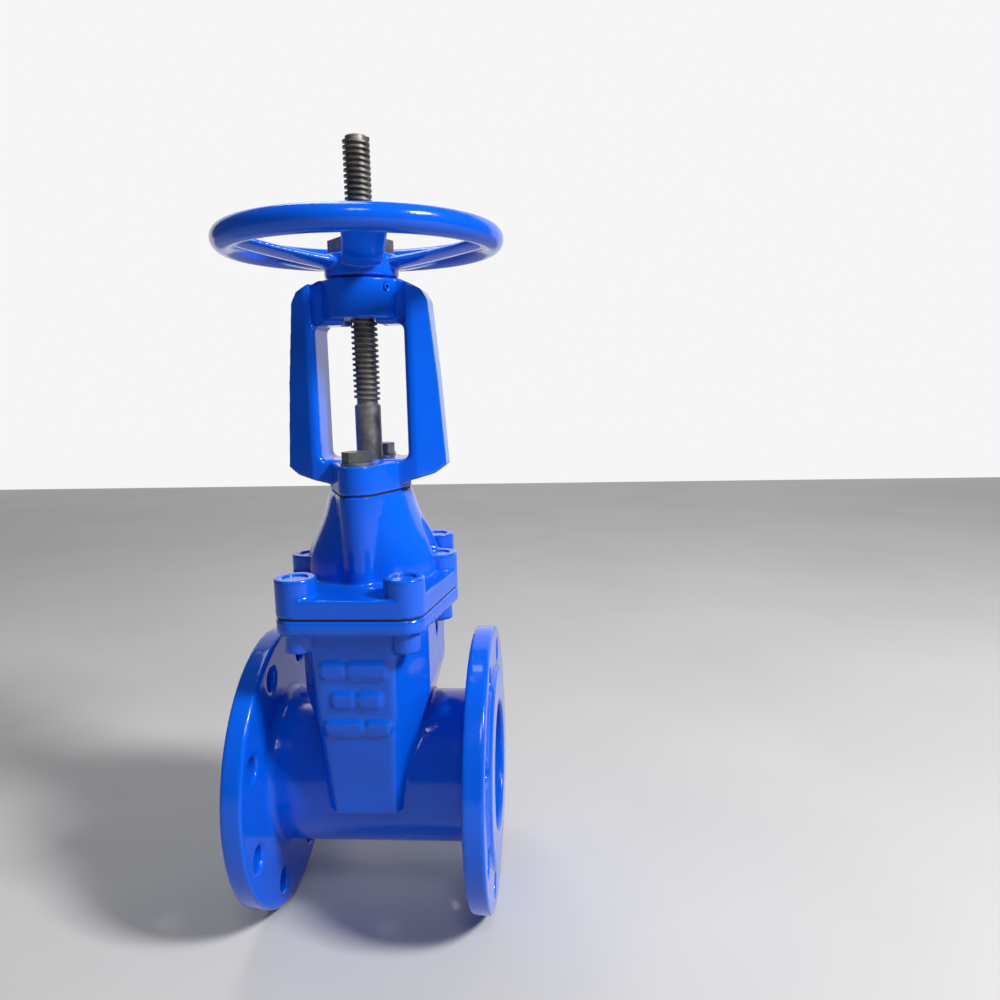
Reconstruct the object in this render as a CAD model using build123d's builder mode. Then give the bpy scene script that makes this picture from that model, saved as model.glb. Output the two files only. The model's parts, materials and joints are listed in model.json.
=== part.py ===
from build123d import *
import os
from math import pi, cos, sin, radians

# Rising-stem gate valve, DN100, drawn partly open.
# Frame: pipe axis along X, stem axis along +Z, z = 0 at the lowest point of the pipe flanges.

# ---- pipe side ----
zp = 110.0                  # height of the pipe axis
flange_r = 110.0
flange_disc_t = 16.0
raised_face_r = 78.0
raised_face_t = 3.0
face_half = 95.0            # half of the face-to-face length
bore_r = 50.0
tube_r = 59.0
pipe_bolt_pcd = 180.0
pipe_bolt_hole_r = 9.5
pipe_bolt_count = 8

# ---- bonnet joint ----
z_body_top = zp + 147.5
gasket_t = 1.0
z_bonnet_bot = z_body_top + gasket_t
body_lip_t = 11.0
bonnet_lip_t = 13.0
joint_bolts = [(38.0, 79.0), (-38.0, 79.0), (38.0, -79.0), (-38.0, -79.0), (50.5, 0.0), (-50.5, 0.0)]
joint_lug_r = 14.5
joint_boss_r = 14.5
joint_foot_r = 9.8           # the bosses under the body lip
z_boss_top = zp + 175.0
z_boss_bot = zp + 122.0
bar_tilt = radians(5.9)
screw_r = 4.95
screw_head_r = 8.0
screw_head_h = 10.0
z_screw_seat = z_bonnet_bot + 8.0

# ---- bonnet neck and yoke foot ----
z_neck_top = zp + 226.0
yoke_gasket_t = 0.8
z_yoke_bot = z_neck_top + yoke_gasket_t
z_foot_top = zp + 248.0
foot_bolt_y = 41.0
foot_centre_r = 31.0
foot_nose_r = 14.5

# ---- yoke head ----
z_window_bot = zp + 249.5
z_window_top = zp + 349.0
window_half = 33.0
z_yoke_top = zp + 381.5
yoke_boss_r = 30.0
nut_pocket_r = 23.0
z_pocket = zp + 356.0

# ---- stem, trapezoidal 20 x 4, left hand ----
pitch = 4.0
thread_r = 10.0
root_r = 7.9
crest_w = 1.46
flank = 0.268               # tan of the 15 degree flank angle
stem_plain_r = 9.85
z_stem_top = zp + 484.0
z_thread_bot = zp + 291.0
z_stem_bot = zp + 66.0
z_collar_top = zp + 143.5

# ---- wedge ----
lift_rest = 44.0            # height of the wedge above its closed place
zw = zp + lift_rest
disc_r = 49.6
wedge_half_t = 27.6
wedge_taper = 0.05
core_half_t = 20.0
guide_y = 61.0

# ---- handwheel ----
rim_R = 97.0
rim_r = 9.3
z_rim = zp + 409.4
hub_r = 27.5
z_hub_bot = zp + 382.5
z_hub_top = zp + 400.0
spoke_n = 5
spoke_start = -75.0
seat_r = 14.45
lock_r = 12.2

os.makedirs("parts", exist_ok=True)


def oct_pts(a, b, c, d):
    return [(a, -b), (c, -d), (c, d), (a, b), (-a, b), (-c, d), (-c, -d), (-a, -b)]


# ================= body casting =================
with BuildPart() as body:
    with BuildSketch(Plane.YZ.offset(-face_half + raised_face_t)):
        with Locations((0, zp)):
            Circle(tube_r)
    extrude(amount=2 * (face_half - raised_face_t))
    for s in (1, -1):
        with BuildSketch(Plane.YZ.offset(s * (face_half - raised_face_t))):
            with Locations((0, zp)):
                Circle(flange_r)
        extrude(amount=-s * flange_disc_t)
    fillet(body.edges().filter_by(GeomType.CIRCLE).filter_by(lambda e: abs(e.radius - flange_r) < 0.1), 1.6)
    for s in (1, -1):
        with BuildSketch(Plane.YZ.offset(s * (face_half - raised_face_t))):
            with Locations((0, zp)):
                Circle(raised_face_r)
        extrude(amount=s * raised_face_t)
    # root fillets between tube and flanges
    fillet(body.edges().filter_by(GeomType.CIRCLE).filter_by(
        lambda e: abs(e.radius - tube_r) < 0.1 and abs(abs(e.center().X) - (face_half - raised_face_t - flange_disc_t)) < 0.1), 6.0)
    # wedge chamber, wide under the joint lip and narrow across the tube
    for lo, hi in (((24.0, 67.0, 30.0, 45.0, -8.0), (26.5, 72.5, 33.0, 47.0, 30.0)),
                   ((26.5, 72.5, 33.0, 47.0, 30.0), (28.5, 78.0, 47.0, 42.0, 78.0)),
                   ((28.5, 78.0, 47.0, 42.0, 78.0), (28.0, 84.0, 47.5, 44.0, 137.0))):
        for sec in (lo, hi):
            with BuildSketch(Plane.XY.offset(zp + sec[4])):
                Polygon(*oct_pts(*sec[:4]), align=None)
                fillet(vertices(), 7.0)
        loft(ruled=True)
    # plain raised bars on the front plate
    with BuildSketch(Plane(origin=(0, -78.0, zp + 78.0), x_dir=(1, 0, 0), z_dir=(0, -cos(bar_tilt), -sin(bar_tilt))).offset(-2.0)):
        for v, bars in ((30.0, ((-15.0, 17.0), (9.5, 28.0))), (7.4, ((-9.0, 16.0), (10.0, 16.0))), (-14.6, ((-9.5, 28.0), (15.0, 17.0)))):
            for u, wide in bars:
                with Locations((u, v)):
                    RectangleRounded(wide, 11.0, 3.0)
    extrude(amount=3.9)
    # joint lip and its screw bosses
    with BuildSketch(Plane.XY.offset(z_body_top - body_lip_t)):
        with Locations(*joint_bolts):
            Circle(joint_lug_r)
        make_hull()
    extrude(amount=body_lip_t)
    with BuildSketch(Plane.XY.offset(z_boss_bot)):
        with Locations(*joint_bolts):
            Circle(joint_foot_r)
    extrude(amount=z_body_top - body_lip_t - z_boss_bot)
    # waterway
    with BuildSketch(Plane.YZ.offset(-face_half - 1)):
        with Locations((0, zp)):
            Circle(bore_r)
    extrude(amount=2 * face_half + 2, mode=Mode.SUBTRACT)
    # wedge pocket with slightly spreading seat walls
    for h in (0.0, z_body_top - zp):
        with BuildSketch(Plane.XY.offset(zp + h)):
            RectangleRounded(2 * (28.0 + wedge_taper * h), 114.0, 8.0)
    loft(ruled=True, mode=Mode.SUBTRACT)
    # guide grooves
    with BuildSketch(Plane.XY.offset(zp)):
        with Locations((0, 58.5), (0, -58.5)):
            Rectangle(12.6, 6.6)
    extrude(amount=z_body_top - zp, mode=Mode.SUBTRACT)
    # tapped holes of the joint
    with BuildSketch(Plane.XY.offset(z_body_top)):
        with Locations(*joint_bolts):
            Circle(5.0)
    extrude(amount=-40.0, mode=Mode.SUBTRACT)
    # pipe bolt holes
    for s in (1, -1):
        with BuildSketch(Plane.YZ.offset(s * (face_half + 1))):
            with Locations((0, zp)):
                with PolarLocations(pipe_bolt_pcd / 2, pipe_bolt_count, start_angle=22.5):
                    Circle(pipe_bolt_hole_r)
        extrude(amount=-s * (flange_disc_t + 10), mode=Mode.SUBTRACT)
body.part.label = "body"

# ================= bonnet gasket =================
with BuildPart() as bonnet_gasket:
    with BuildSketch(Plane.XY.offset(z_body_top)):
        with Locations(*joint_bolts):
            Circle(joint_lug_r - 0.9)
        make_hull()
        RectangleRounded(73.0, 116.0, 7.0, mode=Mode.SUBTRACT)
        with Locations((0, 58.5), (0, -58.5)):
            Rectangle(14.0, 8.0, mode=Mode.SUBTRACT)
        with Locations(*joint_bolts):
            Circle(5.5, mode=Mode.SUBTRACT)
    extrude(amount=gasket_t)
bonnet_gasket.part.label = "bonnet_gasket"

# ================= bonnet casting =================
with BuildPart() as bonnet:
    with BuildSketch(Plane.XY.offset(z_bonnet_bot)):
        with Locations(*joint_bolts):
            Circle(joint_lug_r)
        make_hull()
    extrude(amount=bonnet_lip_t)
    # dome
    for a, b, h in ((51.5, 51.5, 159.0), (50.5, 51.0, 172.0), (46.5, 50.0, 186.0), (40.0, 47.5, 199.0), (35.0, 45.0, 211.0), (31.0, 42.0, 224.0)):
        with BuildSketch(Plane.XY.offset(zp + h)):
            Ellipse(a, b)
    loft()
    # neck and the two bolt columns
    with BuildSketch(Plane.XY.offset(zp + 212.0)):
        Circle(foot_centre_r)
        with Locations((0, foot_bolt_y), (0, -foot_bolt_y)):
            Circle(foot_nose_r)
        make_hull()
    extrude(amount=z_neck_top - zp - 212.0)
    for sy in (1, -1):
        with BuildSketch(Plane.XY.offset(zp + 160.0)):
            with Locations((0, sy * (foot_bolt_y + 1.0))):
                Circle(13.0)
        with BuildSketch(Plane.XY.offset(zp + 213.0)):
            with Locations((0, sy * foot_bolt_y)):
                Circle(foot_nose_r)
        loft(ruled=True)
    # clearance over the side screws, then the screw bosses
    with BuildSketch(Plane.XY.offset(z_boss_top)):
        with Locations(*joint_bolts[4:]):
            Circle(12.5)
    extrude(amount=40.0, mode=Mode.SUBTRACT)
    with BuildSketch(Plane.XY.offset(z_bonnet_bot + 1)):
        with Locations(*joint_bolts):
            Circle(joint_boss_r)
    extrude(amount=z_boss_top - z_bonnet_bot - 1)
    # inside of the dome
    for a, b, f, h in ((36.0, 46.0, 14.0, 147.5), (36.0, 41.0, 14.0, 165.0), (30.0, 33.0, 14.0, 185.0), (19.0, 19.0, 12.0, 200.0)):
        with BuildSketch(Plane.XY.offset(zp + h)):
            RectangleRounded(2 * a, 2 * b, f)
    loft(ruled=True, mode=Mode.SUBTRACT)
    # stem bore: backseat ring recess, throat, seal carrier bore
    for r, lo, hi in ((14.0, 199.0, 204.0), (10.6, 203.0, 209.0), (17.0, 208.0, 227.0)):
        with BuildSketch(Plane.XY.offset(zp + lo)):
            Circle(r)
        extrude(amount=hi - lo, mode=Mode.SUBTRACT)
    # joint screw holes with their counterbores
    with BuildSketch(Plane.XY.offset(z_bonnet_bot - 1)):
        with Locations(*joint_bolts):
            Circle(5.5)
    extrude(amount=30.0, mode=Mode.SUBTRACT)
    with BuildSketch(Plane.XY.offset(z_screw_seat)):
        with Locations(*joint_bolts):
            Circle(8.6)
    extrude(amount=40.0, mode=Mode.SUBTRACT)
    # tapped holes for the yoke bolts
    with BuildSketch(Plane.XY.offset(z_neck_top)):
        with Locations((0, foot_bolt_y), (0, -foot_bolt_y)):
            Circle(6.0)
    extrude(amount=-24.0, mode=Mode.SUBTRACT)
bonnet.part.label = "bonnet"

# ================= bonnet screws, socket head =================
with BuildPart() as bonnet_screws:
    with BuildSketch(Plane.XY.offset(z_screw_seat)):
        with Locations(*joint_bolts):
            Circle(screw_head_r)
    extrude(amount=screw_head_h)
    with BuildSketch(Plane.XY.offset(z_screw_seat)):
        with Locations(*joint_bolts):
            Circle(screw_r)
    extrude(amount=-(z_screw_seat - z_boss_bot) - 1.5)
    with BuildSketch(Plane.XY.offset(z_screw_seat + screw_head_h)):
        with Locations(*joint_bolts):
            RegularPolygon(4.6, 6)
    extrude(amount=-5.0, mode=Mode.SUBTRACT)
    chamfer(bonnet_screws.faces().sort_by(Axis.Z)[0:6].edges(), 0.8)
bonnet_screws.part.label = "bonnet_screws"

# ================= plugs over the screw heads =================
with BuildPart() as screw_plugs:
    with BuildSketch(Plane.XY.offset(z_screw_seat + screw_head_h)):
        with Locations(*joint_bolts):
            Circle(8.6)
    extrude(amount=7.2)
    fillet(screw_plugs.faces().filter_by(Axis.Z).sort_by(Axis.Z)[6:12].edges(), 1.2)
screw_plugs.part.label = "screw_plugs"

# ================= backseat ring =================
with BuildPart() as backseat_ring:
    with BuildSketch(Plane.XY.offset(zp + 200.0)):
        Circle(14.0)
        Circle(10.4, mode=Mode.SUBTRACT)
    extrude(amount=4.0)
    chamfer(backseat_ring.faces().sort_by(Axis.Z)[0].edges().filter_by(lambda e: e.radius < 12), 1.5)
backseat_ring.part.label = "backseat_ring"

# ================= stem seal carrier and its rings =================
outer_groove_z = [zp + 212.5, zp + 219.5]
inner_groove_z = [zp + 214.0, zp + 221.0]
with BuildPart() as seal_carrier:
    with BuildSketch(Plane.XY.offset(zp + 208.0)):
        Circle(16.95)
        Circle(9.95, mode=Mode.SUBTRACT)
    extrude(amount=18.8)
    for z in outer_groove_z:
        with BuildSketch(Plane.XY.offset(z - 1.6)):
            Circle(18.0)
            Circle(14.6, mode=Mode.SUBTRACT)
        extrude(amount=3.2, mode=Mode.SUBTRACT)
    for z in inner_groove_z:
        with BuildSketch(Plane.XY.offset(z - 1.6)):
            Circle(12.4)
        extrude(amount=3.2, mode=Mode.SUBTRACT)
seal_carrier.part.label = "seal_carrier"

with BuildPart() as outer_o_rings:
    for z in outer_groove_z:
        with BuildSketch(Plane.XZ):
            with Locations((15.8, z)):
                Circle(1.2)
        revolve(axis=Axis.Z)
outer_o_rings.part.label = "outer_o_rings"

with BuildPart() as inner_o_rings:
    for z in inner_groove_z:
        with BuildSketch(Plane.XZ):
            with Locations((11.18, z)):
                Circle(1.22)
        revolve(axis=Axis.Z)
inner_o_rings.part.label = "inner_o_rings"

# ================= yoke gasket =================
with BuildPart() as yoke_gasket:
    with BuildSketch(Plane.XY.offset(z_neck_top)):
        Circle(foot_centre_r - 0.8)
        with Locations((0, foot_bolt_y), (0, -foot_bolt_y)):
            Circle(foot_nose_r - 0.8)
        make_hull()
        Circle(17.5, mode=Mode.SUBTRACT)
        with Locations((0, foot_bolt_y), (0, -foot_bolt_y)):
            Circle(6.4, mode=Mode.SUBTRACT)
    extrude(amount=yoke_gasket_t)
yoke_gasket.part.label = "yoke_gasket"

# ================= yoke casting =================
with BuildPart() as yoke:
    with BuildSketch(Plane.XZ.offset(-20.0)):
        with BuildLine():
            Polyline((0, z_yoke_bot), (24.0, z_yoke_bot), (24.5, zp + 231.0), (52.0, zp + 238.0), (60.6, zp + 244.0),
                     (56.2, zp + 308.0), (50.6, zp + 366.0), (46.0, zp + 373.5), (30.0, z_yoke_top),
                     (-30.0, z_yoke_top), (-46.0, zp + 373.5), (-50.6, zp + 366.0), (-56.2, zp + 308.0),
                     (-60.6, zp + 244.0), (-52.0, zp + 238.0), (-24.5, zp + 231.0), (-24.0, z_yoke_bot), (0, z_yoke_bot))
        make_face()
        with BuildLine():
            Polyline((-window_half, z_window_bot), (window_half, z_window_bot), (window_half, z_window_top), (-window_half, z_window_top), close=True)
        make_face(mode=Mode.SUBTRACT)
    extrude(amount=40.0)
    # the arms thin out towards their outer edges
    for sx in (1, -1):
        for sy in (1, -1):
            with BuildSketch(Plane.XY.offset(zp + 220.0)):
                Polygon((sx * 39.5, sy * 20.0), (sx * 64.0, sy * 8.5), (sx * 64.0, sy * 22.0), (sx * 39.5, sy * 22.0), align=None)
            extrude(amount=170.0, mode=Mode.SUBTRACT)
    fillet(yoke.edges().filter_by(Axis.Y).filter_by(
        lambda e: abs(abs(e.center().X) - window_half) < 0.1), 5.0)
    fillet(yoke.edges().filter_by(Axis.Z).filter_by(
        lambda e: abs(abs(e.center().X) - window_half) < 0.1), 4.0)
    # foot
    with BuildSketch(Plane.XY.offset(z_yoke_bot)):
        Circle(foot_centre_r)
        with Locations((0, foot_bolt_y), (0, -foot_bolt_y)):
            Circle(foot_nose_r)
        make_hull()
    extrude(amount=z_foot_top - z_yoke_bot)
    # the crossbar is set back beside the nut boss
    with BuildSketch(Plane.XY.offset(zp + 349.0)):
        with Locations((0, 18.0), (0, -18.0)):
            Rectangle(70.0, 10.0)
    extrude(amount=40.0, mode=Mode.SUBTRACT)
    # nut boss
    with BuildSketch(Plane.XY.offset(zp + 353.0)):
        Circle(yoke_boss_r)
    extrude(amount=z_yoke_top - zp - 353.0)
    # nut pocket and its lower bearing bore
    with BuildSketch(Plane.XY.offset(z_pocket)):
        Circle(nut_pocket_r)
    extrude(amount=40.0, mode=Mode.SUBTRACT)
    with BuildSketch(Plane.XY.offset(zp + 340.0)):
        Circle(16.6)
    extrude(amount=30.0, mode=Mode.SUBTRACT)
    # stem bore of the foot with a wiper recess
    with BuildSketch(Plane.XY.offset(z_yoke_bot - 1)):
        Circle(10.7)
    extrude(amount=30.0, mode=Mode.SUBTRACT)
    with BuildSketch(Plane.XY.offset(zp + 243.0)):
        Circle(15.0)
    extrude(amount=20.0, mode=Mode.SUBTRACT)
    # foot bolt holes
    with BuildSketch(Plane.XY.offset(z_yoke_bot - 1)):
        with Locations((0, foot_bolt_y), (0, -foot_bolt_y)):
            Circle(6.5)
    extrude(amount=40.0, mode=Mode.SUBTRACT)
    # grub screw hole
    with BuildSketch(Plane(origin=(0, 0, zp + 375.0), x_dir=(0, 0, 1), z_dir=(cos(radians(-42)), sin(radians(-42)), 0))):
        Circle(2.5)
    extrude(amount=40.0, mode=Mode.SUBTRACT)
yoke.part.label = "yoke"

# ================= yoke bolts and washers =================
with BuildPart() as yoke_washers:
    with BuildSketch(Plane.XY.offset(z_foot_top)):
        with Locations((0, foot_bolt_y), (0, -foot_bolt_y)):
            Circle(12.0)
            Circle(6.3, mode=Mode.SUBTRACT)
    extrude(amount=2.2)
    chamfer(yoke_washers.faces().sort_by(Axis.Z)[-2:].edges().filter_by(lambda e: e.radius > 10), 0.5)
yoke_washers.part.label = "yoke_washers"

with BuildPart() as yoke_bolts:
    with BuildSketch(Plane.XY.offset(z_foot_top + 2.2)):
        with Locations((0, foot_bolt_y), (0, -foot_bolt_y)):
            RegularPolygon(9.5, 6, major_radius=False, rotation=12)
    extrude(amount=7.5)
    with BuildSketch(Plane.XY.offset(z_foot_top + 2.2)):
        with Locations((0, foot_bolt_y), (0, -foot_bolt_y)):
            Circle(5.95)
    extrude(amount=-(z_foot_top + 2.2 - z_neck_top) - 20.0)
    chamfer(yoke_bolts.faces().sort_by(Axis.Z)[0:2].edges(), 1.0)
yoke_bolts.part.label = "yoke_bolts"

# ================= wiper ring =================
with BuildPart() as wiper_ring:
    with BuildSketch(Plane.XZ):
        with BuildLine():
            Polyline((9.95, zp + 243.0), (15.0, zp + 243.0), (15.0, zp + 248.2), (13.2, zp + 248.9),
                     (9.95, zp + 248.9), close=True)
        make_face()
    revolve(axis=Axis.Z)
wiper_ring.part.label = "wiper_ring"

# ================= stem =================
ridge_root = root_r - 0.35
ridge_turns = int((z_stem_top - 1.6 - z_thread_bot - 2.0) / pitch)
z_ridge0 = z_stem_top - 1.6 - pitch * ridge_turns


def ridge_plane(z):
    return Plane(origin=(0, 0, z), x_dir=(1, 0, 0), z_dir=(0, -1, 0))


with BuildPart() as stem:
    with BuildSketch(Plane.XY.offset(z_thread_bot - 4.0)):
        Circle(root_r)
    extrude(amount=z_stem_top - z_thread_bot + 4.0)
    chamfer(stem.faces().sort_by(Axis.Z)[-1].edges(), 0.4)
    with BuildSketch(Plane.XY.offset(z_stem_bot)):
        Circle(stem_plain_r)
    extrude(amount=z_thread_bot - z_stem_bot)
    chamfer(stem.edges().filter_by(GeomType.CIRCLE).filter_by(
        lambda e: abs(e.radius - stem_plain_r) < 0.01 and abs(e.center().Z - z_thread_bot) < 0.1), 1.9)
    # backseat collar
    with BuildSketch(Plane.XZ):
        with BuildLine():
            Polyline((0, z_collar_top - 8.0), (13.0, z_collar_top - 8.0), (13.0, z_collar_top - 3.0),
                     (stem_plain_r, z_collar_top), (0, z_collar_top), close=True)
        make_face()
    revolve(axis=Axis.Z)
    # cross hole for the wedge pin
    with BuildSketch(Plane.YZ.offset(-20.0)):
        with Locations((0, zw + 42.0)):
            Circle(4.0)
    extrude(amount=40.0, mode=Mode.SUBTRACT)
    # thread ridge
    with BuildLine(mode=Mode.PRIVATE) as ridge_path:
        Helix(pitch=pitch, height=pitch * ridge_turns, radius=root_r, center=(0, 0, z_ridge0), lefthand=True)
    with BuildSketch(ridge_plane(0), mode=Mode.PRIVATE) as ridge_face:
        with BuildLine():
            w0 = crest_w + 2 * (thread_r - ridge_root) * flank
            Polyline((ridge_root, z_ridge0 - w0 / 2), (thread_r, z_ridge0 - crest_w / 2),
                     (thread_r, z_ridge0 + crest_w / 2), (ridge_root, z_ridge0 + w0 / 2), close=True)
        make_face()
    sweep(sections=ridge_face.sketch, path=ridge_path.line, is_frenet=True)
stem.part.label = "stem"

# ================= stem nut =================
nut_ridge0 = z_ridge0 + pitch * 12
nut_clear = 0.25
with BuildPart() as stem_nut:
    for r, lo, hi in ((16.5, 353.0, 358.0), (21.5, 358.6, 367.4), (16.0, 367.0, 382.5), (seat_r, 382.0, 400.0), (lock_r, 399.0, 412.0)):
        with BuildSketch(Plane.XY.offset(zp + lo)):
            Circle(r)
        extrude(amount=hi - lo + (1.0 if lo == 353.0 else 0.0))
    chamfer(stem_nut.faces().sort_by(Axis.Z)[-1].edges(), 0.8)
    with BuildSketch(Plane.XY.offset(zp + 340.0)):
        Circle(root_r + nut_clear)
    extrude(amount=80.0, mode=Mode.SUBTRACT)
    # keyseat
    with BuildSketch(Plane.XY.offset(zp + 384.0)):
        with Locations((14.6, 0)):
            Rectangle(4.4, 5.0)
    extrude(amount=20.0, mode=Mode.SUBTRACT)
    # thread groove
    with BuildLine(mode=Mode.PRIVATE) as groove_path:
        Helix(pitch=pitch, height=pitch * 18, radius=root_r, center=(0, 0, nut_ridge0), lefthand=True)
    with BuildSketch(ridge_plane(0), mode=Mode.PRIVATE) as groove_face:
        with BuildLine():
            g_out = thread_r + nut_clear
            g_in = root_r - 0.1
            wo = crest_w + 0.46 - 2 * nut_clear * flank
            wi = wo + 2 * (g_out - g_in) * flank
            Polyline((g_in, nut_ridge0 - wi / 2), (g_out, nut_ridge0 - wo / 2),
                     (g_out, nut_ridge0 + wo / 2), (g_in, nut_ridge0 + wi / 2), close=True)
        make_face()
    sweep(sections=groove_face.sketch, path=groove_path.line, is_frenet=True, mode=Mode.SUBTRACT)
stem_nut.part.label = "stem_nut"

# ================= thrust washers, retainer ring, grub screw =================
with BuildPart() as lower_thrust_washer:
    with BuildSketch(Plane.XY.offset(z_pocket)):
        Circle(22.9)
        Circle(16.9, mode=Mode.SUBTRACT)
    extrude(amount=2.5)
lower_thrust_washer.part.label = "lower_thrust_washer"

with BuildPart() as upper_thrust_washer:
    with BuildSketch(Plane.XY.offset(zp + 367.5)):
        Circle(22.9)
        Circle(16.3, mode=Mode.SUBTRACT)
    extrude(amount=2.5)
upper_thrust_washer.part.label = "upper_thrust_washer"

with BuildPart() as retainer_ring:
    with BuildSketch(Plane.XY.offset(zp + 370.0)):
        Circle(nut_pocket_r)
        Circle(16.3, mode=Mode.SUBTRACT)
    extrude(amount=11.0)
    with BuildSketch(Plane.XY.offset(zp + 381.0)):
        with PolarLocations(19.6, 4, start_angle=45):
            Circle(1.8)
    extrude(amount=-4.0, mode=Mode.SUBTRACT)
    with BuildSketch(Plane(origin=(0, 0, zp + 375.0), x_dir=(0, 0, 1), z_dir=(cos(radians(-42)), sin(radians(-42)), 0))):
        Circle(2.5)
    extrude(amount=40.0, mode=Mode.SUBTRACT)
retainer_ring.part.label = "retainer_ring"

with BuildPart() as retainer_grub_screw:
    with BuildSketch(Plane(origin=(0, 0, zp + 375.0), x_dir=(0, 0, 1), z_dir=(cos(radians(-42)), sin(radians(-42)), 0)).offset(18.0)):
        Circle(2.5)
    extrude(amount=13.0)
    with BuildSketch(Plane(origin=(0, 0, zp + 375.0), x_dir=(0, 0, 1), z_dir=(cos(radians(-42)), sin(radians(-42)), 0)).offset(31.0)):
        RegularPolygon(1.4, 6)
    extrude(amount=-2.5, mode=Mode.SUBTRACT)
retainer_grub_screw.part.label = "retainer_grub_screw"

# ================= handwheel =================
with BuildPart() as handwheel:
    with BuildSketch(Plane.XZ):
        with Locations((rim_R, z_rim)):
            Circle(rim_r)
    revolve(axis=Axis.Z)
    with BuildSketch(Plane.XY.offset(z_hub_bot)):
        Circle(hub_r)
    extrude(amount=z_hub_top - z_hub_bot)
    fillet(handwheel.edges().filter_by(GeomType.CIRCLE).filter_by(lambda e: abs(e.radius - hub_r) < 0.1), 2.5)
    for k in range(spoke_n):
        a = radians(spoke_start + 360.0 / spoke_n * k)
        for r, z, w, t in ((20.0, 393.2, 15.0, 4.5), (55.0, 398.4, 15.0, 3.8), (92.0, 406.0, 15.5, 3.6)):
            with BuildSketch(Plane(origin=(r * cos(a), r * sin(a), zp + z), x_dir=(-sin(a), cos(a), 0), z_dir=(cos(a), sin(a), 0))):
                Ellipse(w, t)
        loft()
    with BuildSketch(Plane.XY.offset(z_hub_bot - 5)):
        Circle(seat_r + 0.05)
        with Locations((14.6, 0)):
            Rectangle(4.6, 5.0)
    extrude(amount=40.0, mode=Mode.SUBTRACT)
handwheel.part.label = "handwheel"

with BuildPart() as handwheel_key:
    with BuildSketch(Plane.XY.offset(zp + 384.0)):
        with Locations((14.55, 0)):
            Rectangle(4.3, 5.0)
    extrude(amount=15.5)
handwheel_key.part.label = "handwheel_key"

with BuildPart() as wheel_washer:
    with BuildSketch(Plane.XY.offset(z_hub_top)):
        Circle(24.5)
        Circle(12.4, mode=Mode.SUBTRACT)
    extrude(amount=1.6)
wheel_washer.part.label = "wheel_washer"

with BuildPart() as wheel_locknut:
    with BuildSketch(Plane.XY.offset(z_hub_top + 1.6)):
        RegularPolygon(21.0, 6, major_radius=False, rotation=10)
        Circle(lock_r, mode=Mode.SUBTRACT)
    extrude(amount=9.0)
wheel_locknut.part.label = "wheel_locknut"

# ================= wedge =================
with BuildPart() as wedge_core:
    with BuildSketch(Plane.YZ.offset(-core_half_t)):
        with Locations((0, zw)):
            Circle(43.0)
        with Locations((0, zw + 17.0)):
            Rectangle(86.0, 34.0)
    extrude(amount=2 * core_half_t)
    with BuildSketch(Plane.XY.offset(zw + 10.0)):
        Circle(18.0)
    extrude(amount=48.0)
    with BuildSketch(Plane.XY.offset(zw + 4.0)):
        Rectangle(6.0, 114.0)
    extrude(amount=32.0)
    # stem socket and pin hole
    with BuildSketch(Plane.XY.offset(z_stem_bot)):
        Circle(stem_plain_r)
    extrude(amount=60.0, mode=Mode.SUBTRACT)
    with BuildSketch(Plane.YZ.offset(-25.0)):
        with Locations((0, zw + 42.0)):
            Circle(4.0)
    extrude(amount=50.0, mode=Mode.SUBTRACT)
wedge_core.part.label = "wedge_core"

with BuildPart() as wedge_rubber:
    with BuildSketch(Plane.YZ.offset(-40.0)):
        with Locations((0, zw)):
            Circle(disc_r)
        with Locations((0, zw + 19.0)):
            Rectangle(2 * disc_r, 38.0)
        with BuildLine():
            Polyline((-disc_r, zw + 37.9), (disc_r, zw + 37.9), (44.0, zw + 45.0), (21.0, zw + 55.0),
                     (-21.0, zw + 55.0), (-44.0, zw + 45.0), close=True)
        make_face()
    extrude(amount=80.0)
    # tapered faces
    with BuildSketch(Plane.XZ.offset(-60.0)):
        with BuildLine():
            Polyline((-(wedge_half_t - wedge_taper * 52), zw - 52), (wedge_half_t - wedge_taper * 52, zw - 52),
                     (wedge_half_t + wedge_taper * 58, zw + 58), (-(wedge_half_t + wedge_taper * 58), zw + 58), close=True)
        make_face()
    extrude(amount=120.0, mode=Mode.INTERSECT)
    # room for the iron core
    with BuildSketch(Plane.YZ.offset(-core_half_t)):
        with Locations((0, zw)):
            Circle(43.0)
        with Locations((0, zw + 17.0)):
            Rectangle(86.0, 34.0)
    extrude(amount=2 * core_half_t, mode=Mode.SUBTRACT)
    with BuildSketch(Plane.XY.offset(zw + 30.0)):
        Circle(18.0)
    extrude(amount=40.0, mode=Mode.SUBTRACT)
    with BuildSketch(Plane.XY.offset(zw + 4.0)):
        Rectangle(6.0, 114.0)
    extrude(amount=32.0, mode=Mode.SUBTRACT)
wedge_rubber.part.label = "wedge_rubber"

with BuildPart() as wedge_guides:
    with BuildSketch(Plane.XY.offset(zw + 1.5)):
        for s in (1, -1):
            with Locations((0, s * (disc_r + guide_y) / 2)):
                Rectangle(11.6, guide_y - disc_r)
    extrude(amount=36.5)
    with BuildSketch(Plane.XY.offset(zw + 4.0)):
        Rectangle(6.0, 114.0)
    extrude(amount=32.0, mode=Mode.SUBTRACT)
wedge_guides.part.label = "wedge_guides"

with BuildPart() as stem_pin:
    with BuildSketch(Plane.YZ.offset(-17.2)):
        with Locations((0, zw + 42.0)):
            Circle(4.0)
    extrude(amount=34.4)
stem_pin.part.label = "stem_pin"

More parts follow.
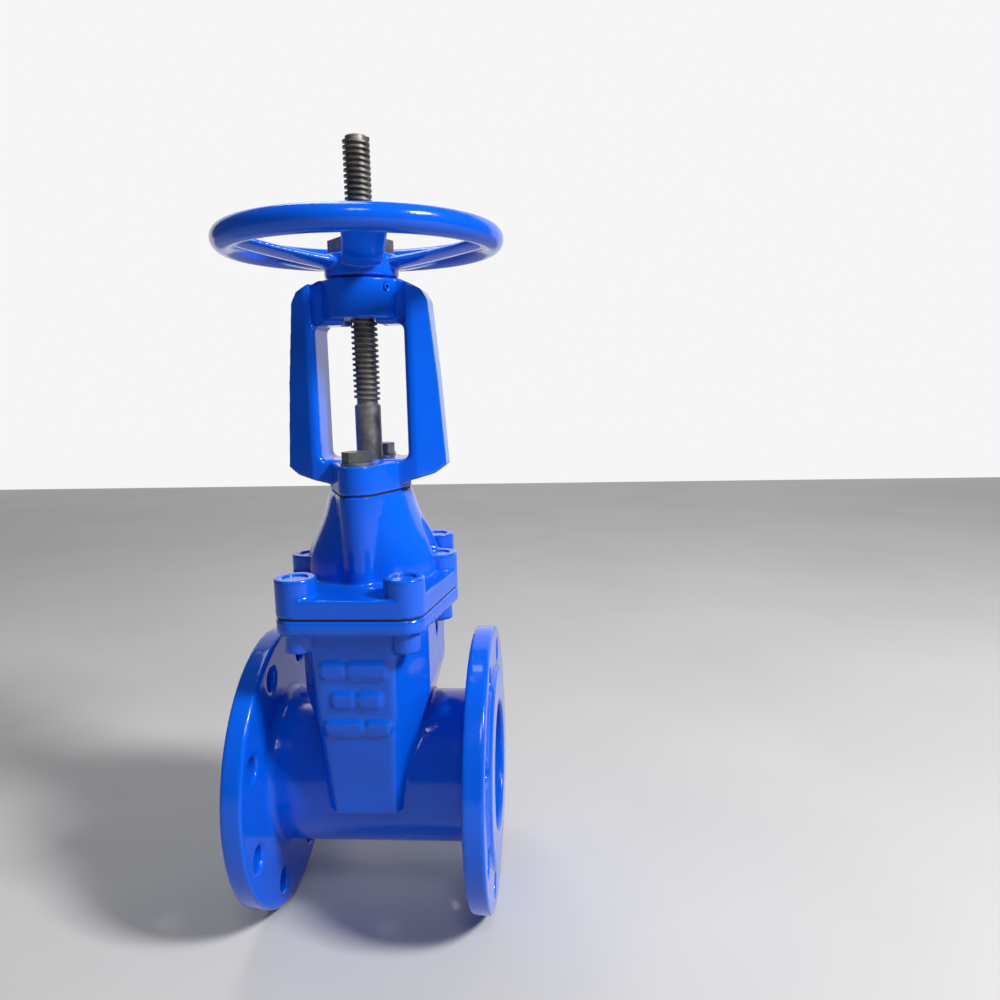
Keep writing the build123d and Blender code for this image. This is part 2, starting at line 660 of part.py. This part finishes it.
# ================= files =================
export_step(body.part, "parts/body.step")
export_step(bonnet_gasket.part, "parts/bonnet_gasket.step")
export_step(bonnet.part, "parts/bonnet.step")
export_step(bonnet_screws.part, "parts/bonnet_screws.step")
export_step(screw_plugs.part, "parts/screw_plugs.step")
export_step(backseat_ring.part, "parts/backseat_ring.step")
export_step(seal_carrier.part, "parts/seal_carrier.step")
export_step(outer_o_rings.part, "parts/outer_o_rings.step")
export_step(inner_o_rings.part, "parts/inner_o_rings.step")
export_step(yoke_gasket.part, "parts/yoke_gasket.step")
export_step(yoke.part, "parts/yoke.step")
export_step(yoke_washers.part, "parts/yoke_washers.step")
export_step(yoke_bolts.part, "parts/yoke_bolts.step")
export_step(wiper_ring.part, "parts/wiper_ring.step")
export_step(stem.part, "parts/stem.step")
export_step(stem_nut.part, "parts/stem_nut.step")
export_step(lower_thrust_washer.part, "parts/lower_thrust_washer.step")
export_step(upper_thrust_washer.part, "parts/upper_thrust_washer.step")
export_step(retainer_ring.part, "parts/retainer_ring.step")
export_step(retainer_grub_screw.part, "parts/retainer_grub_screw.step")
export_step(handwheel.part, "parts/handwheel.step")
export_step(handwheel_key.part, "parts/handwheel_key.step")
export_step(wheel_washer.part, "parts/wheel_washer.step")
export_step(wheel_locknut.part, "parts/wheel_locknut.step")
export_step(wedge_core.part, "parts/wedge_core.step")
export_step(wedge_rubber.part, "parts/wedge_rubber.step")
export_step(wedge_guides.part, "parts/wedge_guides.step")
export_step(stem_pin.part, "parts/stem_pin.step")
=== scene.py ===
import bpy, json, math
import numpy as np
from mathutils import Matrix, Vector


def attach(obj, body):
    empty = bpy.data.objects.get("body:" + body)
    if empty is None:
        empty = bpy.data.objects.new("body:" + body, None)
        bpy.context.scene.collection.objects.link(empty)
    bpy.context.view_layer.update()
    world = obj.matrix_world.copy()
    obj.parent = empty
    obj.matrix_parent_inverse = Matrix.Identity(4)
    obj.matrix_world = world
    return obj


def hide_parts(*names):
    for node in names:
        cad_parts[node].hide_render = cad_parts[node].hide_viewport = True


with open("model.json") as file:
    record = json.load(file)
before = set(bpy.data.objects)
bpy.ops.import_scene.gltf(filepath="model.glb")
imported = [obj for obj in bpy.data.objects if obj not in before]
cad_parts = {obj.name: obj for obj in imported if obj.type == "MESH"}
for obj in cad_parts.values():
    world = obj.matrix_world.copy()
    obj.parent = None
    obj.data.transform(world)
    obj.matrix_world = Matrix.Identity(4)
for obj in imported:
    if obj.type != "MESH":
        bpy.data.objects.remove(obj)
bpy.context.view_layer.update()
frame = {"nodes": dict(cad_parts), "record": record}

scn = bpy.context.scene
try:
    scn.view_settings.view_transform = "Standard"
    scn.view_settings.look = "None"
except Exception:
    pass

ZP = 0.110


# ------------------------------------------------------------------ materials
class Mat:
    def __init__(self, name):
        self.m = bpy.data.materials.new(name)
        self.m.use_nodes = True
        self.nt = self.m.node_tree
        self.nt.nodes.clear()
        self.out = self.nt.nodes.new("ShaderNodeOutputMaterial")
        self.bsdf = self.nt.nodes.new("ShaderNodeBsdfPrincipled")
        self.nt.links.new(self.bsdf.outputs[0], self.out.inputs[0])
        self.tc = self.nt.nodes.new("ShaderNodeTexCoord")

    def link(self, a, b):
        self.nt.links.new(a, b)

    def mapped(self, scale=(1, 1, 1)):
        n = self.nt.nodes.new("ShaderNodeMapping")
        n.inputs["Scale"].default_value = scale
        self.link(self.tc.outputs["Object"], n.inputs["Vector"])
        return n.outputs[0]

    def noise(self, scale, detail=3.0, rough=0.55, vec=None, distortion=0.0):
        n = self.nt.nodes.new("ShaderNodeTexNoise")
        n.inputs["Scale"].default_value = scale
        n.inputs["Detail"].default_value = detail
        n.inputs["Roughness"].default_value = rough
        n.inputs["Distortion"].default_value = distortion
        self.link(vec if vec is not None else self.tc.outputs["Object"], n.inputs["Vector"])
        return n.outputs["Fac"]

    def ramp(self, fac, stops):
        n = self.nt.nodes.new("ShaderNodeValToRGB")
        e = n.color_ramp.elements
        while len(e) > 1:
            e.remove(e[-1])
        e[0].position, e[0].color = stops[0][0], (*stops[0][1], 1)
        for p, c in stops[1:]:
            x = e.new(p)
            x.color = (*c, 1)
        self.link(fac, n.inputs[0])
        return n.outputs[0]

    def value_map(self, fac, a, b, lo, hi):
        n = self.nt.nodes.new("ShaderNodeMapRange")
        n.inputs["From Min"].default_value = a
        n.inputs["From Max"].default_value = b
        n.inputs["To Min"].default_value = lo
        n.inputs["To Max"].default_value = hi
        self.link(fac, n.inputs["Value"])
        return n.outputs[0]

    def math(self, op, a, b):
        n = self.nt.nodes.new("ShaderNodeMath")
        n.operation = op
        for i, v in enumerate((a, b)):
            if isinstance(v, (int, float)):
                n.inputs[i].default_value = v
            else:
                self.link(v, n.inputs[i])
        return n.outputs[0]

    def mix(self, fac, a, b):
        n = self.nt.nodes.new("ShaderNodeMix")
        n.data_type = "RGBA"
        if isinstance(fac, (int, float)):
            n.inputs[0].default_value = fac
        else:
            self.link(fac, n.inputs[0])
        for sock, v in ((n.inputs[6], a), (n.inputs[7], b)):
            if isinstance(v, tuple):
                sock.default_value = (*v, 1)
            else:
                self.link(v, sock)
        return n.outputs[2]

    def bump(self, height, strength, distance, base=None):
        n = self.nt.nodes.new("ShaderNodeBump")
        n.inputs["Strength"].default_value = strength
        n.inputs["Distance"].default_value = distance
        self.link(height, n.inputs["Height"])
        if base is not None:
            self.link(base, n.inputs["Normal"])
        return n.outputs[0]

    def finish(self, color=None, rough=None, normal=None, **sockets):
        if color is not None:
            self.link(color, self.bsdf.inputs["Base Color"])
        if rough is not None:
            self.link(rough, self.bsdf.inputs["Roughness"])
        if normal is not None:
            self.link(normal, self.bsdf.inputs["Normal"])
        for k, v in sockets.items():
            self.bsdf.inputs[k.replace("_", " ")].default_value = v
        return self.m


def blue_epoxy(name="blue_epoxy", wave=1.0):
    m = Mat(name)
    big = m.noise(9.0, 2.0, 0.5)
    mid = m.noise(70.0, 3.0, 0.55)
    peel = m.noise(420.0, 2.0, 0.5)
    speck = m.noise(1500.0, 2.0, 0.6)
    geo = m.nt.nodes.new("ShaderNodeNewGeometry")
    col = m.ramp(big, [(0.30, (0.0010, 0.084, 0.62)), (0.55, (0.0013, 0.102, 0.72)), (0.75, (0.0018, 0.118, 0.79))])
    # painted highlight: sharp edges (high pointiness) are mixed towards a paler blue
    painted_edge_highlight = m.value_map(geo.outputs["Pointiness"], 0.52, 0.62, 0.0, 0.28)
    col = m.mix(painted_edge_highlight, col, (0.006, 0.18, 0.88))
    # painted shade: corners and creases (low pointiness) are mixed towards dark navy
    painted_crevice_shade = m.value_map(geo.outputs["Pointiness"], 0.49, 0.42, 0.0, 0.45)
    col = m.mix(painted_crevice_shade, col, (0.0008, 0.030, 0.26))
    dust = m.value_map(speck, 0.66, 0.74, 0.0, 0.18)
    col = m.mix(dust, col, (0.008, 0.12, 0.62))
    rough = m.value_map(mid, 0.3, 0.7, 0.10, 0.19)
    n1 = m.bump(mid, 0.22 * wave, 0.0012)
    n2 = m.bump(peel, 0.10 * wave, 0.00022, n1)
    return m.finish(col, rough, n2, Metallic=0.0, IOR=1.52, Coat_Weight=0.22, Coat_Roughness=0.05, Specular_IOR_Level=0.27)


def stem_steel():
    m = Mat("stem_steel")
    rings = m.noise(1.0, 3.0, 0.6, m.mapped((120, 120, 2600)))
    smear = m.noise(60.0, 4.0, 0.6)
    col = m.ramp(smear, [(0.30, (0.15, 0.140, 0.126)), (0.5, (0.24, 0.228, 0.21)), (0.72, (0.36, 0.348, 0.33))])
    grime = m.value_map(m.noise(210.0, 4.0, 0.65), 0.52, 0.70, 0.0, 0.55)
    col = m.mix(grime, col, (0.055, 0.047, 0.038))
    rough = m.value_map(smear, 0.3, 0.7, 0.34, 0.55)
    n = m.bump(rings, 0.25, 0.00012)
    return m.finish(col, rough, n, Metallic=0.7)


def zinc_steel():
    m = Mat("zinc_steel")
    a = m.noise(140.0, 4.0, 0.6)
    b = m.noise(900.0, 3.0, 0.6)
    col = m.ramp(a, [(0.3, (0.17, 0.175, 0.18)), (0.55, (0.27, 0.275, 0.28)), (0.75, (0.38, 0.385, 0.385))])
    rough = m.value_map(b, 0.3, 0.7, 0.30, 0.52)
    n = m.bump(b, 0.2, 0.00012)
    return m.finish(col, rough, n, Metallic=0.9)


def brass():
    m = Mat("brass")
    a = m.noise(1.0, 3.0, 0.6, m.mapped((90, 90, 1800)))
    b = m.noise(120.0, 4.0, 0.6)
    col = m.ramp(b, [(0.3, (0.42, 0.27, 0.08)), (0.55, (0.62, 0.43, 0.15)), (0.78, (0.74, 0.55, 0.24))])
    rough = m.value_map(b, 0.3, 0.7, 0.22, 0.42)
    n = m.bump(a, 0.2, 0.0001)
    return m.finish(col, rough, n, Metallic=1.0)


def black_rubber():
    m = Mat("black_rubber")
    a = m.noise(260.0, 4.0, 0.6)
    b = m.noise(1400.0, 2.0, 0.5)
    col = m.ramp(a, [(0.3, (0.010, 0.010, 0.011)), (0.6, (0.020, 0.020, 0.021)), (0.8, (0.034, 0.033, 0.032))])
    rough = m.value_map(a, 0.3, 0.7, 0.50, 0.72)
    n = m.bump(b, 0.2, 0.00015)
    return m.finish(col, rough, n, Specular_IOR_Level=0.4)


def ductile_iron():
    m = Mat("ductile_iron")
    a = m.noise(90.0, 5.0, 0.65)
    b = m.noise(700.0, 3.0, 0.6)
    col = m.ramp(a, [(0.3, (0.055, 0.055, 0.058)), (0.6, (0.10, 0.10, 0.10)), (0.8, (0.15, 0.13, 0.11))])
    rough = m.value_map(a, 0.3, 0.7, 0.55, 0.8)
    n = m.bump(b, 0.4, 0.0004)
    return m.finish(col, rough, n, Metallic=0.6)


def guide_plastic():
    m = Mat("guide_plastic")
    a = m.noise(150.0, 3.0, 0.5)
    b = m.noise(1100.0, 2.0, 0.5)
    col = m.ramp(a, [(0.3, (0.62, 0.60, 0.54)), (0.6, (0.72, 0.70, 0.65)), (0.8, (0.78, 0.77, 0.73))])
    rough = m.value_map(b, 0.3, 0.7, 0.35, 0.5)
    n = m.bump(b, 0.1, 0.0001)
    return m.finish(col, rough, n)


def blue_plug():
    m = Mat("blue_plug")
    a = m.noise(120.0, 3.0, 0.5)
    b = m.noise(600.0, 2.0, 0.5)
    col = m.ramp(a, [(0.3, (0.0010, 0.074, 0.56)), (0.7, (0.002, 0.108, 0.72))])
    rough = m.value_map(b, 0.3, 0.7, 0.18, 0.32)
    n = m.bump(a, 0.5, 0.0007)
    return m.finish(col, rough, n, Coat_Weight=0.4, Coat_Roughness=0.08)


MATS = {"blue_epoxy": blue_epoxy(), "blue_plug": blue_plug(), "black_rubber": black_rubber(),
        "stem_steel": stem_steel(), "brass": brass(), "zinc_steel": zinc_steel(),
        "ductile_iron": ductile_iron(), "guide_plastic": guide_plastic()}
slot_of = {s["node"]: s["material_slot"] for s in frame["record"]["subparts"]}


def set_material(o, mat):
    o.data.materials.clear() if not len(o.data.materials) else None
    if len(o.material_slots) == 0:
        o.data.materials.append(mat)
    for s in o.material_slots:
        s.material = mat


for node, o in frame["nodes"].items():
    for s in o.material_slots:
        s.material = MATS[slot_of[node]]


# ------------------------------------------------------- soft cast blends
def soft_casting(node, body, voxel, r_concave, r_convex, rounds=60):
    src = frame["nodes"][node]
    me = src.data.copy()
    o = bpy.data.objects.new(node + "_casting", me)
    scn.collection.objects.link(o)
    mod = o.modifiers.new("Remesh", "REMESH")
    mod.mode = "VOXEL"
    mod.voxel_size = voxel
    mod.adaptivity = 0.0
    dg = bpy.context.evaluated_depsgraph_get()
    out = bpy.data.meshes.new_from_object(o.evaluated_get(dg), depsgraph=dg)
    o.modifiers.clear()
    o.data = out
    nv = len(out.vertices)
    co = np.empty(nv * 3)
    out.vertices.foreach_get("co", co)
    co = co.reshape(-1, 3)
    ne = len(out.edges)
    ed = np.empty(ne * 2, dtype=np.int64)
    out.edges.foreach_get("vertices", ed)
    ed = ed.reshape(-1, 2)
    deg = np.bincount(ed.ravel(), minlength=nv).astype(float)
    i = np.concatenate([ed[:, 0], ed[:, 1]])
    j = np.concatenate([ed[:, 1], ed[:, 0]])
    lo, hi = co.min(0), co.max(0)
    t_in = voxel * voxel / (4 * r_concave)
    t_out = voxel * voxel / (4 * r_convex)

    def lap(c):
        s = np.stack([np.bincount(i, weights=c[j, k], minlength=nv) for k in range(3)], 1)
        return s / deg[:, None] - c

    def normals(c):
        out.vertices.foreach_set("co", c.ravel())
        out.update()
        n = np.empty(nv * 3)
        out.vertices.foreach_get("normal", n)
        return n.reshape(-1, 3)

    for it in range(2):
        co = co + 0.5 * lap(co)
    for it in range(rounds):
        if it % 6 == 0:
            n = normals(co)
        L = lap(co)
        d = (L * n).sum(1)
        w = np.where(d > 0, np.clip(1 - t_in / np.maximum(d, 1e-9), 0, 1), np.clip(1 - t_out / np.maximum(-d, 1e-9), 0, 1))
        for _ in range(1):
            w = 0.5 * w + 0.5 * (np.bincount(i, weights=w[j], minlength=nv) / deg)
        co = co + 0.6 * w[:, None] * L
    co = np.clip(co, lo, hi)
    out.vertices.foreach_set("co", co.ravel())
    out.update()
    for p in out.polygons:
        p.use_smooth = True
    out.materials.clear()
    out.materials.append(MATS[slot_of[node]])
    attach(o, body)
    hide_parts(node)
    return o


SOFT = True
if SOFT:
    k = 1.0
    soft_casting("body", "valve_body", 0.0014 * k, 0.005, 0.0011)
    soft_casting("bonnet", "valve_body", 0.0011 * k, 0.005, 0.0014)
    soft_casting("yoke", "valve_body", 0.0011 * k, 0.004, 0.0018)
    soft_casting("handwheel", "wheel_group", 0.0011 * k, 0.006, 0.0020)


# ------------------------------------------------------------------ floor
def floor():
    me = bpy.data.meshes.new("floor")
    s = 6.0
    n = 24
    verts, faces = [], []
    for a in range(n + 1):
        for b in range(n + 1):
            verts.append((-s + 2 * s * a / n, -s + 2 * s * b / n, 0.0))
    for a in range(n):
        for b in range(n):
            p = a * (n + 1) + b
            faces.append((p, p + n + 1, p + n + 2, p + 1))
    me.from_pydata(verts, [], faces)
    o = bpy.data.objects.new("floor", me)
    scn.collection.objects.link(o)
    m = Mat("pale_floor")
    a = m.noise(3.0, 3.0, 0.5)
    col = m.ramp(a, [(0.3, (0.50, 0.50, 0.505)), (0.7, (0.54, 0.54, 0.54))])
    m.finish(col, None, None, Roughness=0.85)
    me.materials.append(m.m)
    return o


floor()


# ------------------------------------------------------------------ lights
def area(name, loc, target, size, power, color=(1, 1, 1), size_y=None):
    l = bpy.data.lights.new(name, "AREA")
    l.shape = "RECTANGLE"
    l.size = size
    l.size_y = size_y or size
    l.energy = power
    l.color = color
    o = bpy.data.objects.new(name, l)
    scn.collection.objects.link(o)
    o.location = loc
    d = Vector(target) - Vector(loc)
    o.rotation_euler = d.to_track_quat("-Z", "Y").to_euler()
    return o


area("key", (1.53, -0.72, 1.70), (0, 0, 0.30), 0.40, 64, (1.0, 0.99, 0.97))
area("front", (0.35, -1.7, 2.1), (0, 0, 0.30), 0.5, 9, (0.97, 0.98, 1.0))
area("top", (-0.30, 0.55, 1.75), (0, 0, 0.40), 0.35, 5.5, (1, 1, 1), 1.0)

w = bpy.data.worlds.new("studio")
scn.world = w
w.use_nodes = True
bg = w.node_tree.nodes["Background"]
bg.inputs[0].default_value = (0.90, 0.94, 1.0, 1)
bg.inputs[1].default_value = 0.08


def backdrop():
    me = bpy.data.meshes.new("backdrop")
    me.from_pydata([(-3.4, 2.6, 0.0), (2.8, 2.6, 0.0), (2.8, 2.6, 3.2), (-3.4, 2.6, 3.2)], [], [(0, 1, 2, 3)])
    o = bpy.data.objects.new("backdrop", me)
    scn.collection.objects.link(o)
    m = bpy.data.materials.new("backdrop_glow")
    m.use_nodes = True
    nt = m.node_tree
    nt.nodes.clear()
    out = nt.nodes.new("ShaderNodeOutputMaterial")
    em = nt.nodes.new("ShaderNodeEmission")
    em.inputs["Color"].default_value = (1.0, 1.0, 1.0, 1)
    em.inputs["Strength"].default_value = 0.92
    nt.links.new(em.outputs[0], out.inputs[0])
    me.materials.append(m)


backdrop()

# ------------------------------------------------------------------ camera
yaw, pitch, roll = 0.0700, 0.1494, -0.0216
fwd = Vector((-math.sin(yaw) * math.cos(pitch), math.cos(yaw) * math.cos(pitch), -math.sin(pitch)))
right = Vector((math.cos(yaw), math.sin(yaw), 0))
up = right.cross(fwd)
r2 = math.cos(roll) * right + math.sin(roll) * up
u2 = -math.sin(roll) * right + math.cos(roll) * up
cam = bpy.data.cameras.new("camera")
cam.sensor_width = 36.0
cam.lens = 36.0 * 809.364 / 1000.0
co = bpy.data.objects.new("camera", cam)
scn.collection.objects.link(co)
M = Matrix((r2, u2, -fwd)).transposed().to_4x4()
M.translation = Vector((0.142685, -0.613661, 0.307777 + ZP))
co.matrix_world = M
cam.clip_start = 0.02
cam.clip_end = 50
scn.camera = co
